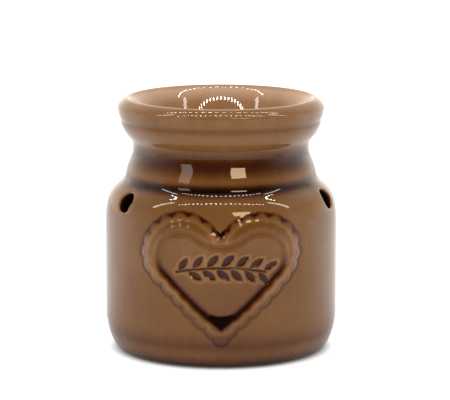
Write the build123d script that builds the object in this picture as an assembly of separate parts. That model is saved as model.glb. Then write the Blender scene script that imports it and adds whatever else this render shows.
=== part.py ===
from build123d import *
from math import acos, atan2, cos, hypot, pi, radians, sin
import os

# Essential oil burner: a glazed ceramic jar with a dish on its mouth and a tealight in its chamber.
# Millimetres, +Z up. The origin is the centre of the foot, on the surface that the burner stands on.
# The heart is on the front, at -Y, and the doorway for the tealight is at the back, at +Y.

# Jar, outside: how far each ring lies in or out of the one before it, and how high above it
wall_radius = 39.0
foot_inset = 2.5
foot_height = 2.8
foot_round = 1.5
swell_rise = 10.2
wall_height = 31.0
shoulder_inset = 6.7
shoulder_rise = 14.8
neck_inset = 2.7
neck_rise = 9.8
flare_outset = 4.4
flare_rise = 9.4
seam_round = 0.6

# How far the jar's curves are drawn out at their ends, as shares of their own width and height
swell_out, swell_up, swell_down = 0.42, 0.18, 0.82
shoulder_up, shoulder_tuck, shoulder_down = 0.82, 0.2, 0.24
neck_in, neck_up, neck_down = 0.3, 0.55, 0.34
flare_up, flare_in, flare_down = 0.42, 0.35, 0.67

# Jar, inside and underneath
wall = 3.8
floor_height = 5.5
floor_round = 4.0
foot_ring_width = 5.5
foot_recess = 1.2

# Vent holes, cut by hand through the shoulder. Their bearings are turned from the front towards +X.
vent_radius = 3.7
vent_drop = 5.8
vent_tilt = 31.0
vent_bearings = (-58.0, 71.5)
vent_round = 0.5

# Doorway at the back
door_clearance = 4.0
door_height = 37.5
door_round = 1.5

# Oil dish
rim_outset = 0.7
rim_widest = 4.6
rim_rise = 7.3
ridge_inset = 3.5
bowl_depth = 16.3
bowl_wall = 3.6
knee_inset = 6.6
knee_drop = 9.1
knee_slope = 58.8

# How far the dish's curves are drawn out, as shares of their own width and height
rim_out, rim_up, rim_down = 0.5, 0.36, 0.32
roll_up, roll_out = 0.17, 0.47
brow_in, brow_draw = 0.16, 0.605
knee_draw, bowl_flat = 0.156, 0.53
under_flat, under_in, under_down = 0.66, 0.093, 0.35

# Heart plaque, as seen from the front. Heights are above the heart's lower point.
heart_base = 9.1
relief_bead = 1.35
relief_band = 1.0
relief_pillow = 0.9
relief_groove = 0.35
field_tip = 5.6
field_notch = 32.8
field_lobe_offset = 12.6
field_lobe_height = 28.7
field_lobe_radius = 8.35
side_bow = 0.5
bead_width = 2.3
edge_lobe_offset = 12.4
edge_lobe_height = 29.4
edge_lobe_radius = 13.0
scallops_per_side = 14
scallop_radius = 4.2
nose_radius = 1.8
groove_width = 1.0
pillow_tip_round = 11.0

# Tealight
tealight_radius = 19.0
cup_height = 15.0
cup_wall = 0.4
cup_taper = 0.7
lip_radius = 0.5
rest_gap = 0.2
wax_height = 11.5
wax_dip = 0.6
sustainer_radius = 6.0
sustainer_plate = 0.3
collar_height = 4.5
collar_wall = 0.4
wick_radius = 0.9
wick_length = 18.5

# Rings of the jar, worked out from the sizes above
foot_radius = wall_radius - foot_inset
crease_radius = wall_radius - shoulder_inset
waist_radius = crease_radius - neck_inset
mouth_radius = waist_radius + flare_outset
rim_radius = mouth_radius + rim_outset
swell_height = foot_height + swell_rise
shoulder_height = swell_height + wall_height
crease_height = shoulder_height + shoulder_rise
waist_height = crease_height + neck_rise
mouth_height = waist_height + flare_rise


def turned(*curves):
    # A solid of revolution from closed curves drawn as radius and height
    return revolve(Plane.XZ * make_face(Curve() + list(curves)), Axis.Z)


def bend(start, end, start_pull, end_pull):
    # A smooth curve between two points, drawn out along a pull at each end
    first, last = Vector(*start), Vector(*end)
    return Bezier(first, first + Vector(*start_pull), last + Vector(*end_pull), last)


def side_curves(step=0.0):
    # The jar's side from the top of the foot band to the mouth, moved outwards by step
    foot_top = (foot_radius + step, foot_height)
    wall_low = (wall_radius + step, swell_height)
    wall_top = (wall_radius + step, shoulder_height)
    crease = (crease_radius + step, crease_height)
    waist = (waist_radius + step, waist_height)
    mouth = (mouth_radius + step, mouth_height)
    swell_start = (swell_out * foot_inset, swell_up * swell_rise)
    shoulder_start = (0, shoulder_up * shoulder_rise + step)
    shoulder_end = (shoulder_tuck * shoulder_inset, step - shoulder_down * shoulder_rise)
    neck_start = (-neck_in * neck_inset, neck_up * neck_rise)
    flare_end = (-flare_in * flare_outset, -flare_down * flare_rise)
    return [
        bend(foot_top, wall_low, swell_start, (0, -swell_down * swell_rise)),
        Line(wall_low, wall_top),
        bend(wall_top, crease, shoulder_start, shoulder_end),
        bend(crease, waist, neck_start, (0, -neck_down * neck_rise)),
        bend(waist, mouth, (0, flare_up * flare_rise), flare_end),
    ]


def jar_blank(step=0.0):
    # The jar as a solid block, with its side moved outwards by step
    edge = foot_radius + step
    return turned(
        Line((0, 0), (edge - foot_round, 0)),
        RadiusArc((edge - foot_round, 0), (edge, foot_round), -foot_round),
        Line((edge, foot_round), (edge, foot_height)),
        *side_curves(step),
        Line((mouth_radius + step, mouth_height), (0, mouth_height)),
        Line((0, mouth_height), (0, 0)),
    )


def chamber():
    # The hollow of the jar: a flat floor with a rounded corner, then the side moved in by the wall
    inside = wall_radius - wall
    corner = floor_height + floor_round
    return turned(
        Line((0, floor_height), (inside - floor_round, floor_height)),
        RadiusArc((inside - floor_round, floor_height), (inside, corner), -floor_round),
        Line((inside, corner), (inside, shoulder_height)),
        *side_curves(-wall)[2:],
        Line((mouth_radius - wall, mouth_height), (0, mouth_height)),
        Line((0, mouth_height), (0, floor_height)),
    )


def doorway():
    # An arch through the back wall, level with the floor, as wide as the tealight and its clearance
    half = tealight_radius + door_clearance
    spring = floor_height + door_height - half
    outline = Pos(0, (floor_height + spring) / 2) * Rectangle(2 * half, spring - floor_height)
    outline += Pos(0, spring) * Circle(half)
    outline &= Pos(0, floor_height + door_height / 2) * Rectangle(2 * half, door_height)
    return extrude(Plane.XZ * outline, amount=-2 * wall_radius)


def vent(bearing):
    # A round cutter through the shoulder, square to its slope
    out = Vector(sin(radians(bearing)), -cos(radians(bearing)), 0)
    aim = out * cos(radians(vent_tilt)) + Vector(0, 0, sin(radians(vent_tilt)))
    centre = out * (wall_radius - wall / 2) + Vector(0, 0, crease_height - vent_drop)
    return Plane(origin=centre, z_dir=aim) * Cylinder(vent_radius, 4 * wall)


def off_axis(edge):
    # How far the middle of an edge lies from the jar's axis
    middle = edge @ 0.5
    return hypot(middle.X, middle.Y)


def jar_body():
    # Foot, floor, wall, shoulder and neck in one, with the vents and the doorway cut through
    jar = jar_blank() - chamber()
    ring = foot_radius - foot_round - foot_ring_width
    jar -= Pos(0, 0, foot_recess / 2) * Cylinder(ring, foot_recess)
    jar = fillet(jar.edges().group_by(Axis.Z)[-1].sort_by(off_axis)[-1], seam_round)
    opened = jar - doorway()
    arch = new_edges(jar, doorway(), combined=opened)
    jar = fillet([edge for edge in arch if off_axis(edge) > wall_radius - wall / 2], door_round)
    for bearing in vent_bearings:
        holed = jar - vent(bearing)
        jar = fillet(new_edges(jar, vent(bearing), combined=holed), vent_round)
    return jar


def oil_dish():
    # A rolled rim that carries on the jar's flare, and a bowl that hangs inside the neck. The bowl's
    # side is steep as far down as its knee, and its floor is a shallow curve from there.
    ridge_height = mouth_height + rim_rise
    floor = ridge_height - bowl_depth
    seat = mouth_radius - wall
    root = (mouth_radius, mouth_height)
    widest = (rim_radius, mouth_height + rim_widest)
    ridge = (rim_radius - ridge_inset, ridge_height)
    roll = rim_rise - rim_widest
    knee = (ridge[0] - knee_inset, ridge_height - knee_drop)
    slope = (cos(radians(knee_slope)), sin(radians(knee_slope)))
    side = brow_draw * hypot(knee_inset, knee_drop)
    turn = knee_draw * hypot(knee[0], knee[1] - floor)
    under = floor - bowl_wall
    drop = mouth_height - under
    lip = rim_out * rim_outset
    tip = (-under_in * seat, -under_down * drop)
    dish = turned(
        bend(root, widest, (lip, rim_up * rim_widest), (0, -rim_down * rim_widest)),
        bend(widest, ridge, (0, roll_up * roll), (roll_out * ridge_inset, 0)),
        bend(ridge, knee, (-brow_in * knee_inset, 0), (side * slope[0], side * slope[1])),
        bend(knee, (0, floor), (-turn * slope[0], -turn * slope[1]), (bowl_flat * knee[0], 0)),
        Line((0, floor), (0, under)),
        bend((0, under), (seat, mouth_height), (under_flat * seat, 0), tip),
        Line((seat, mouth_height), root),
    )
    seams = dish.edges().filter_by(lambda edge: abs(edge.center().Z - mouth_height) < seam_round)
    return fillet(seams.sort_by(off_axis)[-1], seam_round)


def side_centre(lobe, radius, tip, bow):
    # The centre of an arc that leaves a lobe's circle smoothly and ends at the tip, bowed out by bow
    gap = hypot(lobe[0] - tip[0], lobe[1] - tip[1])
    reach = (gap**2 - radius**2) / (8 * bow) + radius
    along = (reach**2 - (reach - radius)**2 + gap**2) / (2 * gap)
    heading = atan2(lobe[1] - tip[1], lobe[0] - tip[0]) + acos(along / reach)
    return (tip[0] + reach * cos(heading), tip[1] + reach * sin(heading)), reach


def on_circle(centre, radius, angle):
    return (centre[0] + radius * cos(angle), centre[1] + radius * sin(angle))


def side_arc(lobe, radius, tip):
    # The long arc from a lobe to the tip, and the angle on the lobe where it starts
    centre, reach = side_centre(lobe, radius, tip, side_bow)
    start = atan2(lobe[1] - centre[1], lobe[0] - centre[0])
    end = atan2(tip[1] - centre[1], tip[0] - centre[0])
    middle = on_circle(centre, reach, (start + end) / 2)
    return ThreePointArc(on_circle(centre, reach, start), middle, tip), start


def field_outline():
    # The sunk field: two round lobes, a round notch between them, and bowed sides down to a point
    lobe = (field_lobe_offset, heart_base + field_lobe_height)
    low = heart_base + field_notch
    lift = lobe[1] - low
    notch_radius = (field_lobe_offset**2 + lift**2 - field_lobe_radius**2) / (2 * (field_lobe_radius - lift))
    top = (0, low + notch_radius)
    lean = atan2(lobe[1] - top[1], lobe[0] - top[0])
    join = on_circle(top, notch_radius, lean)
    side, start = side_arc(lobe, field_lobe_radius, (0, heart_base + field_tip))
    turn = (lean + pi + start) / 2
    half = [
        ThreePointArc((0, low), on_circle(top, notch_radius, (lean - pi / 2) / 2), join),
        ThreePointArc(join, on_circle(lobe, field_lobe_radius, turn), side @ 0),
        side,
    ]
    right = make_face(Curve() + half + [Line(side @ 1, (0, low))])
    return right + mirror(right, Plane.YZ)


def scalloped_outline():
    # Round scallops, evenly spaced along an outer heart, and a small nose at its point
    lobe = (edge_lobe_offset, heart_base + edge_lobe_height)
    side, start = side_arc(lobe, edge_lobe_radius, (0, heart_base))
    cleft = acos(-edge_lobe_offset / edge_lobe_radius)
    around = edge_lobe_radius * (cleft - start)
    pitch = (around + side.length) / (scallops_per_side + 0.5)
    outline = offset(field_outline(), bead_width, kind=Kind.ARC)
    outline += Pos(0, heart_base + nose_radius) * Circle(nose_radius)
    for number in range(scallops_per_side):
        way = (number + 0.5) * pitch
        if way < around:
            x, z = on_circle(lobe, edge_lobe_radius - scallop_radius, cleft - way / edge_lobe_radius)
        else:
            share = (way - around) / side.length
            inward = Vector(0, 0, -1).cross(side % share)
            x, z, _ = side @ share + inward * scallop_radius
        outline += Pos(x, z) * Circle(scallop_radius)
        outline += Pos(-x, z) * Circle(scallop_radius)
    return outline


def pillow_outline():
    # The cushioned middle of the field, which stops short of its lower point
    inner = offset(field_outline(), -groove_width)
    return fillet(inner.vertices().sort_by(Axis.Y)[0], pillow_tip_round)


def forward(outline):
    # An outline seen from the front, drawn through the front of the wall
    return extrude(Plane.XZ * outline, amount=2 * wall_radius)


def heart_plaque():
    # A scalloped band, a raised bead inside it, and a sunk field with a cushioned middle
    field = field_outline()
    bead = offset(field, bead_width, kind=Kind.ARC)
    plaque = forward(scalloped_outline()) & jar_blank(relief_band)
    plaque += forward(bead) & jar_blank(relief_bead)
    plaque -= forward(field) - jar_blank(relief_groove)
    plaque += forward(pillow_outline()) & jar_blank(relief_pillow)
    return plaque - jar_blank()


def in_cup(height):
    # The radius inside the cup at a height above its base
    base = tealight_radius - lip_radius - cup_taper
    return base - cup_wall + cup_taper * height / cup_height


def tealight_cup():
    # A drawn cup with a little taper and a rolled lip
    base = tealight_radius - lip_radius - cup_taper
    top = tealight_radius - lip_radius
    lip = cup_height - lip_radius
    cup = turned(
        Polyline((0, 0), (base, 0), (top, lip), (top - cup_wall, lip)),
        Polyline((top - cup_wall, lip), (in_cup(cup_wall), cup_wall), (0, cup_wall), (0, 0)),
    )
    bead = Pos(top - cup_wall / 2, lip) * Circle(lip_radius + cup_wall / 2)
    return cup + revolve(Plane.XZ * bead, Axis.Z)


def wick_sustainer():
    # A thin plate with a collar that grips the wick
    low = cup_wall
    plate = Pos(0, 0, low + sustainer_plate / 2) * Cylinder(sustainer_radius, sustainer_plate)
    middle = low + (sustainer_plate + collar_height) / 2
    collar = Pos(0, 0, middle) * Cylinder(wick_radius + collar_wall, sustainer_plate + collar_height)
    return plate + collar - wick()


def wick():
    low = cup_wall + sustainer_plate
    return Pos(0, 0, low + wick_length / 2) * Cylinder(wick_radius, wick_length)


def tealight_wax():
    # Wax poured round the wick, with a top that dips between the wick and the cup
    edge = in_cup(wax_height)
    wax = turned(
        Polyline((0, wax_height), (0, cup_wall), (in_cup(cup_wall), cup_wall), (edge, wax_height)),
        ThreePointArc((edge, wax_height), (edge / 2, wax_height - wax_dip), (0, wax_height)),
    )
    return wax - wick_sustainer() - wick()


os.makedirs("parts", exist_ok=True)
on_floor = Pos(0, 0, floor_height + rest_gap)
nodes = {
    "jar_body": jar_body(),
    "oil_dish": oil_dish(),
    "heart_plaque": heart_plaque(),
    "tealight_cup": on_floor * tealight_cup(),
    "tealight_wax": on_floor * tealight_wax(),
    "tealight_wick": on_floor * wick(),
    "wick_sustainer": on_floor * wick_sustainer(),
}
for name, shape in nodes.items():
    export_step(shape, f"parts/{name}.step")
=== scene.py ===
from math import acos, asin, atan2, cos, hypot, pi, radians, sin

import bmesh
import bpy
import numpy as np
from mathutils import Matrix, Vector


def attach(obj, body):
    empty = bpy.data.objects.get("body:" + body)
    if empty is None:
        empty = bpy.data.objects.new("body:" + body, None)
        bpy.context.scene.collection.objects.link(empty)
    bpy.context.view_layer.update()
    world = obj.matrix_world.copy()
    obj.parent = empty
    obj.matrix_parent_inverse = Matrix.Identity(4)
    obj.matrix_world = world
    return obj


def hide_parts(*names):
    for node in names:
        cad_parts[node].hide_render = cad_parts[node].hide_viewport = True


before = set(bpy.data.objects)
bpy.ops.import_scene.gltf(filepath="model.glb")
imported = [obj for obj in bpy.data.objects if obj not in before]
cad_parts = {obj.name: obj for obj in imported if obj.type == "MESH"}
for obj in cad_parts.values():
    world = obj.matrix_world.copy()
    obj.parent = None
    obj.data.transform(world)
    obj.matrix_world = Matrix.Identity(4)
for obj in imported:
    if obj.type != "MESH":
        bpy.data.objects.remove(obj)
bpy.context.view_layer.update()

# Jar. Slip-cast stoneware in one piece: foot ring, floor, wall, shoulder, neck and flared mouth, with
# two vents cut by hand through the shoulder and an arched doorway cut through the wall at the back.
# The mesh is spun from its outline, and its courses are then drawn aside round each opening.

# Sizes are in millimetres and angles in degrees, and bearings turn to the right from the front.
MM = 0.001
SPOKES = 320
WALL = 3.8
REST, FOOT, LOW_WALL, HIGH_WALL = (32.2, 0.0), (35.2, 1.2), (39.0, 13.0), (39.0, 44.0)
CREASE, WAIST, MOUTH = (32.3, 58.8), (29.6, 68.6), (34.0, 78.0)
FOOT_RING, RING_ROUND, RECESS_ROUND = 29.2, 0.5, 0.6
FLOOR, FLOOR_ROUND, RECESS = 5.5, 4.0, 1.2
SEAM_DEPTH, SEAM_REACH = 0.3, 0.9
VENTS, VENT_RADIUS, VENT_TILT, VENT_DROP, VENT_ROUND = (-58.0, 71.5), 3.7, 31.0, 5.8, 0.6
DOOR_HALF, DOOR_HEIGHT, DOOR_ROUND, DOOR_INNER_ROUND = 23.0, 37.5, 1.5, 0.9

# Counts of faces: up the five stretches of the side, round the floor's corner, and half across and up
# the blocks that the openings take. A reach is how many rows round an opening are drawn aside.
SIDE_FACES = (18, 40, 22, 13, 14)
CORNER_FACES = 9
VENT_FACES, VENT_REACH = 5, 11
DOOR_FACES, DOOR_COURSES, DOOR_REACH, DOOR_INNER_REACH = (32, 48), 70, 26, 16
EDGE_STEPS, EDGE_PITCH = (0.0, 0.08, 0.25, 0.5, 0.8, 1.15), 0.75

# The glaze is a glossy, see-through brown one, which the dish and the heart share. It runs off raised
# edges, where it fires pale and thin, and pools nearly black in hollows. Each ceramic piece carries a
# "glaze" attribute, from -1 where it is thin to 1 where it pools, given here by height, which also holds
# painted light and shade. Towards the table the foot is painted darker, as the shade where it curves
# under the wall. The crease under the shoulder is darker, partly from pooled glaze and partly as painted
# shade. The flare is painted paler, as the light from above falls on it. The neck and a band 6 to 10 mm
# up the foot are darker too. The jar's "bare" attribute is 1 under its foot ring, which is wiped clean
# before firing.
JAR_GLAZE_PAINTED_SHADE_AND_LIGHT = [
    (0.0, 1.0), (0.8, 0.85), (1.6, 0.6), (2.6, 0.42), (3.6, 0.26), (4.8, 0.12), (6.2, 0.2), (7.8, 0.4),
    (9.2, 0.28), (12.0, 0.08), (14.0, 0.02), (42.0, 0.0), (50.0, 0.0), (54.5, 0.02), (56.0, 0.12),
    (57.3, 0.6), (58.2, 1.0), (59.2, 0.9), (60.0, 0.4), (60.8, 0.1), (61.6, 0.08), (62.4, 0.2),
    (63.5, 0.42), (65.0, 0.62), (67.0, 0.68), (69.0, 0.45), (71.0, 0.03), (73.0, -0.1), (75.0, -0.16),
    (76.8, -0.08), (77.5, 0.08), (78.0, 0.18),
]
# The first of these darkens the whole inside of the chamber as painted shade. The corner pool is glaze
# pooled round the floor's corner.
INSIDE_SHADE, CORNER_POOL = 0.62, 0.2
CORNER_RADIUS, CORNER_WIDE, CORNER_TOP = 33.0, 4.0, 10.0
# The vents' outer edges are pale where the glaze breaks thin. Their back edges and linings are painted
# darker, as the shade inside the holes.
VENT_EDGE_GLAZE, VENT_BACK_SHADE, VENT_LINING_SHADE = -0.2, 0.5, 0.75
DOOR_EDGE_GLAZE, DOOR_BACK_GLAZE = -0.5, -0.2
BARE_BELOW, GLAZED_ABOVE = 0.2, 0.6
THIN_GLAZE = [(0.0, (212, 173, 141)), (0.3, (164, 118, 80)), (0.5, (127, 84, 43))]
DEEP_GLAZE = [(0.66, (104, 61, 26)), (0.82, (66, 30, 12)), (1.0, (24, 7, 6))]
BARE_CLAY = ((188, 160, 126), (214, 190, 158))
IRON_SPECK, SPECKS, SPECK_SIZE, SPECK_SHOWS = (46, 22, 12), 150.0, 0.055, 0.6


def bent(start, end, start_pull, end_pull, count):
    # Evenly spaced points on a smooth curve that is drawn out along a pull at each end
    share = np.linspace(0, 1, 200)[:, None]
    a, d = np.array(start, float), np.array(end, float)
    b, c = a + start_pull, d + end_pull
    fine = (
        (1 - share) ** 3 * a + 3 * (1 - share) ** 2 * share * b
        + 3 * (1 - share) * share**2 * c + share**3 * d
    )
    run = np.concatenate([[0], np.cumsum(np.hypot(*np.diff(fine, axis=0).T))])
    even = np.linspace(0, run[-1], count + 1)
    return np.column_stack([np.interp(even, run, fine[:, 0]), np.interp(even, run, fine[:, 1])])


def straight(start, end, count):
    # Evenly spaced points on a line
    return np.linspace(start, end, count + 1)


def quarter(centre, radius, first, last, count):
    # Points round an arc, from the first to the last angle in degrees
    turn = np.radians(np.linspace(first, last, count + 1))
    return np.column_stack([centre[0] + radius * np.cos(turn), centre[1] + radius * np.sin(turn)])


def chained(*curves):
    # Curves that meet end to end, as one run of points
    return np.concatenate([curves[0]] + [curve[1:] for curve in curves[1:]])


def jar_side(step):
    # The side from the foot to the mouth, moved outwards by step, as five curves end to end
    foot, low, high, crease, waist, mouth = (
        (r + step, z) for r, z in (FOOT, LOW_WALL, HIGH_WALL, CREASE, WAIST, MOUTH)
    )
    swell, wall, shoulder, neck, flare = SIDE_FACES
    return [
        bent(foot, low, (1.77, 1.16), (0, -4.8), swell),
        straight(low, high, wall),
        bent(high, crease, (0, 12.14 + step), (1.34, step - 3.55), shoulder),
        bent(crease, waist, (-0.81, 5.39), (0, -3.33), neck),
        bent(waist, mouth, (0, 3.95), (-1.54, -6.3), flare),
    ]


def hump(value, middle, width):
    # 1 at the middle, and falling away softly on both sides
    return np.exp(-(((value - middle) / width) ** 2))


def seam_dip(points):
    # The soft groove where the dish is luted on: both pieces turn in towards it
    dip = SEAM_DEPTH * hump(points[:, 1], MOUTH[1], SEAM_REACH)
    return np.column_stack([points[:, 0] - dip, points[:, 1]])


def spun(outline, spokes=SPOKES):
    # A turned piece from its outline, which starts and ends on the axis: an eighth of it is spun, and
    # doubled three times. Each vertex keeps its course, which is its place along the outline.
    shape = bmesh.new()
    course = shape.verts.layers.int.new("course")
    shape.verts.layers.float.new("glaze")
    shape.verts.layers.float.new("bare")
    line = [shape.verts.new((0, -r * MM, z * MM)) for r, z in outline]
    for index, vertex in enumerate(line):
        vertex[course] = index
    edges = [shape.edges.new(pair) for pair in zip(line, line[1:])]
    bmesh.ops.spin(
        shape, geom=line + edges, axis=(0, 0, 1), cent=(0, 0, 0), angle=pi / 4, steps=spokes // 8,
        use_merge=False,
    )
    for turn in (pi / 4, pi / 2, pi):
        copied = bmesh.ops.duplicate(shape, geom=shape.verts[:] + shape.edges[:] + shape.faces[:])["geom"]
        again = [item for item in copied if isinstance(item, bmesh.types.BMVert)]
        bmesh.ops.rotate(shape, verts=again, cent=(0, 0, 0), matrix=Matrix.Rotation(turn, 3, "Z"))
    bmesh.ops.remove_doubles(shape, verts=shape.verts, dist=1e-6)
    return shape


def keep_crisp(shape, *courses):
    # Shades the edges along these courses as corners
    course = shape.verts.layers.int["course"]
    for edge in shape.edges:
        first, second = (vertex[course] for vertex in edge.verts)
        if first == second and first in courses:
            edge.smooth = False


def finish_piece(shape, name, material):
    # The bmesh as an object with smooth faces that point outwards
    bmesh.ops.recalc_face_normals(shape, faces=shape.faces)
    for face in shape.faces:
        face.smooth = True
    mesh = bpy.data.meshes.new(name)
    shape.to_mesh(mesh)
    shape.free()
    piece = bpy.data.objects.new(name, mesh)
    bpy.context.scene.collection.objects.link(piece)
    mesh.materials.append(material)
    return piece


recess_edge = FOOT_RING - RECESS_ROUND
outside = chained(
    straight((0, RECESS), (recess_edge, RECESS), 10),
    quarter((recess_edge, RECESS - RECESS_ROUND), RECESS_ROUND, 90, 0, 4),
    straight((FOOT_RING, RECESS - RECESS_ROUND), (FOOT_RING, RING_ROUND), 1),
    quarter((FOOT_RING + RING_ROUND, RING_ROUND), RING_ROUND, 180, 270, 4),
    straight((FOOT_RING + RING_ROUND, 0), REST, 4),
    bent(REST, FOOT, (1.9, 0), (-0.44, -0.29), 9),
    *jar_side(0),
)
outside = seam_dip(outside)
inner_side = [curve[::-1] for curve in jar_side(-WALL)[:1:-1]]
inner_radius = LOW_WALL[0] - WALL
floor_edge, floor_corner = inner_radius - FLOOR_ROUND, FLOOR + FLOOR_ROUND
inside = chained(
    *inner_side,
    straight((inner_radius, HIGH_WALL[1]), (inner_radius, floor_corner), SIDE_FACES[1]),
    quarter((floor_edge, floor_corner), FLOOR_ROUND, 0, -90, CORNER_FACES),
    straight((floor_edge, FLOOR), (0, FLOOR), 16),
)
outline = np.concatenate([outside, straight(outside[-1], inside[0], 4)[1:-1], inside])
run = np.concatenate([[0], np.cumsum(np.hypot(*np.diff(outline, axis=0).T))])
SWELL_START = len(outside) - 1 - sum(SIDE_FACES)
INNER_START = len(outline) - len(inside)
jar = spun(outline)
course_of = jar.verts.layers.int["course"]
glaze_light_and_shade_of, bare_of = jar.verts.layers.float["glaze"], jar.verts.layers.float["bare"]


def on_outline(course):
    # The radius and height at a fraction of a course, and the way out of the clay there
    low = int(min(max(course, 1), len(outline) - 3))
    share = course - low
    a, b, c, d = outline[low - 1 : low + 3]
    slope, bend, twist = c - a, 2 * a - 5 * b + 4 * c - d, 3 * (b - c) + d - a
    point = b + 0.5 * share * (slope + share * (bend + share * twist))
    along = 0.5 * slope + share * bend + 1.5 * share**2 * twist
    along /= max(hypot(*along), 1e-9)
    return point, (along[1], -along[0])


def spoke_of(vertex):
    # Which of the spokes round the axis a vertex lies on, from the front
    return round(atan2(vertex.co.x, -vertex.co.y) / (2 * pi / SPOKES)) % SPOKES


def around_square(u, v):
    # How far round a square's edge a point of it lies, from its lower left corner up and over to its
    # lower right corner, from 0 to 3, and then back along the bottom, from 3 to 4
    if v <= -1 + 1e-9 and abs(u) < 1 - 1e-9:
        return 3 + (1 - u) / 2
    if u <= -1 + 1e-9:
        return (v + 1) / 2
    if v >= 1 - 1e-9:
        return 1 + (u + 1) / 2
    return 2 + (1 - v) / 2


def open_up(centre, courses, half, target, rounding, reach, edge_glaze_and_shade, lining_shade=0.0):
    # Takes the block of faces out, and draws the rows round it aside into the opening's own outline,
    # with a rounded edge. The glaze is this much deeper on that edge, most so on its third row, and
    # on the lining behind it. The glaze breaks pale and thin on the outer edges. The darker back edge
    # and lining of each vent are painted shade inside the hole.
    low, high = courses
    middle, tall = (low + high) / 2, (high - low) / 2
    last_step = len(EDGE_STEPS) - 1
    moves = {}
    rows = {}
    for vertex in jar.verts:
        if not low - reach <= vertex[course_of] <= high + reach:
            continue
        j = vertex[course_of] - middle
        i = (spoke_of(vertex) - centre + SPOKES // 2) % SPOKES - SPOKES // 2
        ring = round(max(abs(i) - half, abs(j) - tall))
        if ring > reach or vertex.co.xy.length < 1e-5:
            continue
        rows[vertex] = ring
        if ring < 0:
            continue
        u, v = i / (half + ring), j / (tall + ring)
        spread = rounding * EDGE_STEPS[min(ring, last_step)] + max(ring - last_step, 0) * EDGE_PITCH
        bearing, course, sharp = target(u, v, spread)
        old = 2 * pi * (centre + i) / SPOKES
        turn = (old - bearing + pi) % (2 * pi) - pi
        share = min(max((ring - last_step) / (reach - last_step), 0), 1)
        share = share * share * (3 - 2 * share)
        bearing += share * turn
        course += share * (vertex[course_of] - course)
        (radius, height), (out, up) = on_outline(course)
        gap = 1 - min(spread / rounding, 1)
        sink = rounding * (1 - (1 - gap * gap) ** 0.5) * sharp
        radius, height = radius - out * sink, height - up * sink
        moves[vertex] = (radius * sin(bearing), -radius * cos(bearing), height)
        vertex[glaze_light_and_shade_of] += edge_glaze_and_shade * max(1 - abs(ring - 3) / 4, 0) * sharp
        vertex[glaze_light_and_shade_of] += lining_shade * (ring == 0)
    for vertex, place in moves.items():
        vertex.co = Vector(place) * MM
    inner = [face for face in jar.faces if all(rows.get(vertex, 1) <= 0 for vertex in face.verts)]
    bmesh.ops.delete(jar, geom=inner, context="FACES")


def join_openings():
    # Lines the openings: each outer edge is bridged to the inner edge behind it
    loops = []
    left = {edge for edge in jar.edges if edge.is_boundary}
    while left:
        loop, todo = [], [left.pop()]
        while todo:
            edge = todo.pop()
            loop.append(edge)
            near = [other for vertex in edge.verts for other in vertex.link_edges if other in left]
            left.difference_update(near)
            todo.extend(near)
        middle = sum((vertex.co for edge in loop for vertex in edge.verts), Vector()) / (2 * len(loop))
        loops.append((middle, loop))
    while loops:
        middle, loop = loops.pop(0)
        mate = min(range(len(loops)), key=lambda index: (loops[index][0].xy - middle.xy).length)
        bmesh.ops.bridge_loops(jar, edges=loop + loops.pop(mate)[1])


def vent_target(bearing, first, last):
    # A round hole, square to the shoulder, whose middle lies where the cutter's line meets this skin
    line = (LOW_WALL[0] - WALL / 2, CREASE[1] - VENT_DROP)
    tilt = radians(VENT_TILT)
    miss = [abs((z - line[1]) * cos(tilt) - (r - line[0]) * sin(tilt)) for r, z in outline[first:last]]
    middle = first + int(np.argmin(miss))
    radius = outline[middle][0]

    def target(u, v, spread):
        turn = pi * 0.5 * (1.5 - around_square(u, v)) + pi / 2
        away = VENT_RADIUS + spread
        course = np.interp(run[middle] + away * sin(turn), run, range(len(run)))
        return radians(bearing) + away * cos(turn) / radius, course, 1.0

    return middle, target


outer_shoulder, inner_shoulder = SWELL_START + sum(SIDE_FACES[:2]), INNER_START + sum(SIDE_FACES[3:])
for bearing in VENTS:
    spoke = round(bearing / 360 * SPOKES)
    for skin, edge_glaze_and_shade in ((outer_shoulder, VENT_EDGE_GLAZE), (inner_shoulder, VENT_BACK_SHADE)):
        middle, target = vent_target(bearing, skin, skin + SIDE_FACES[2])
        open_up(
            spoke, (middle - VENT_FACES, middle + VENT_FACES), VENT_FACES, target, VENT_ROUND,
            VENT_REACH, edge_glaze_and_shade, VENT_LINING_SHADE,
        )


def door_target(sill, skin_end, sense, flat_sill):
    # An arch on a level sill, seen from behind. On this skin it starts at the sill's course.
    spring = FLOOR + DOOR_HEIGHT - DOOR_HALF
    courses = range(sill, skin_end, sense)
    skin_heights = [outline[course][1] for course in courses]

    def target(u, v, spread):
        half, low = DOOR_HALF + spread, FLOOR - spread
        jamb = spring - low
        length = 2 * jamb + pi * half
        place = around_square(u, v * sense)
        if place >= 3:
            x, z = half * (1 - 2 * (place - 3)), low
        else:
            way = place / 3 * length
            if way < jamb:
                x, z = -half, low + way
            elif way > length - jamb:
                x, z = half, low + length - way
            else:
                turn = pi - (way - jamb) / half
                x, z = half * cos(turn), spring + half * sin(turn)
        if z >= FLOOR:
            course = np.interp(z, skin_heights, list(courses))
        else:
            drop = FLOOR - z
            course = np.interp(run[sill] - sense * drop, run, range(len(run)))
        sharp = min(max((z - FLOOR) / 3, 0), 1) if flat_sill else 1.0
        radius = on_outline(course if z >= FLOOR else sill)[0][0]
        return pi + asin(min(max(x / radius, -0.98), 0.98)), course, sharp

    return target


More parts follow.
